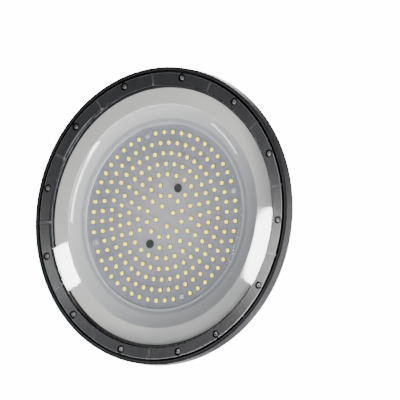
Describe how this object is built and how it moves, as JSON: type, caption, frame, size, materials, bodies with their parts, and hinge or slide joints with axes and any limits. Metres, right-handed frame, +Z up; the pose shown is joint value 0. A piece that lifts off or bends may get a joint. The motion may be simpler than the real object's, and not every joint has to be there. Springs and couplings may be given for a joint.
{
  "type": "high bay light",
  "caption": "Round LED high bay light with a finned die-cast heat sink, a clear cover over a ring-laid LED board, a hanging eye and a cable gland.",
  "frame": {"origin": "on the lamp's axis, level with the front face of the bezel ring, which is its lowest surface", "axes": "+Z up along the lamp's axis towards the hanging eye; the LED side faces -Z; the fins run along Y"},
  "size_m": [0.28, 0.28, 0.0882],
  "materials": {
    "casting_paint": "satin black powder coat on die-cast aluminium",
    "bezel_black": "satin black powder coat",
    "screw_steel": "plain stainless",
    "eye_steel": "zinc plated",
    "silicone": "matt silicone",
    "clear_cover": "clear glossy polycarbonate",
    "reflector_white": "gloss white",
    "board_white": "solder resist on aluminium, satin",
    "chip_yellow": "pale yellow phosphor",
    "pad_grey": "matt",
    "rubber_black": "matt",
    "lead_sleeve": "silicone sleeve",
    "pcb_green": "green solder resist",
    "ferrite": "dark ferrite",
    "capacitor_sleeve": "dark sleeve",
    "black_plastic": "moulded epoxy",
    "terminal_plastic": "moulded nylon",
    "fuse_plastic": "moulded",
    "gland_nylon": "moulded nylon"
  },
  "bodies": {
    "root": {"heat_sink": "casting_paint", "bezel_ring": "bezel_black", "bezel_screws": "screw_steel", "lens_gasket": "silicone", "lens_cover": "clear_cover", "reflector": "reflector_white", "led_board": "board_white", "led_chips": "chip_yellow", "board_screws": "screw_steel", "thermal_pad": "pad_grey", "wire_grommets": "rubber_black", "output_leads": "lead_sleeve", "driver_board": "pcb_green", "driver_screws": "screw_steel", "driver_transformer": "ferrite", "driver_capacitors": "capacitor_sleeve", "driver_choke": "ferrite", "power_transistors": "black_plastic", "driver_fuse": "fuse_plastic", "input_terminals": "terminal_plastic", "gland_body": "gland_nylon", "gland_seal": "rubber_black", "gland_nut": "gland_nylon", "eye_washer": "eye_steel", "eye_locknut": "eye_steel", "eye_bolt": "eye_steel"}
  },
  "joints": []
}
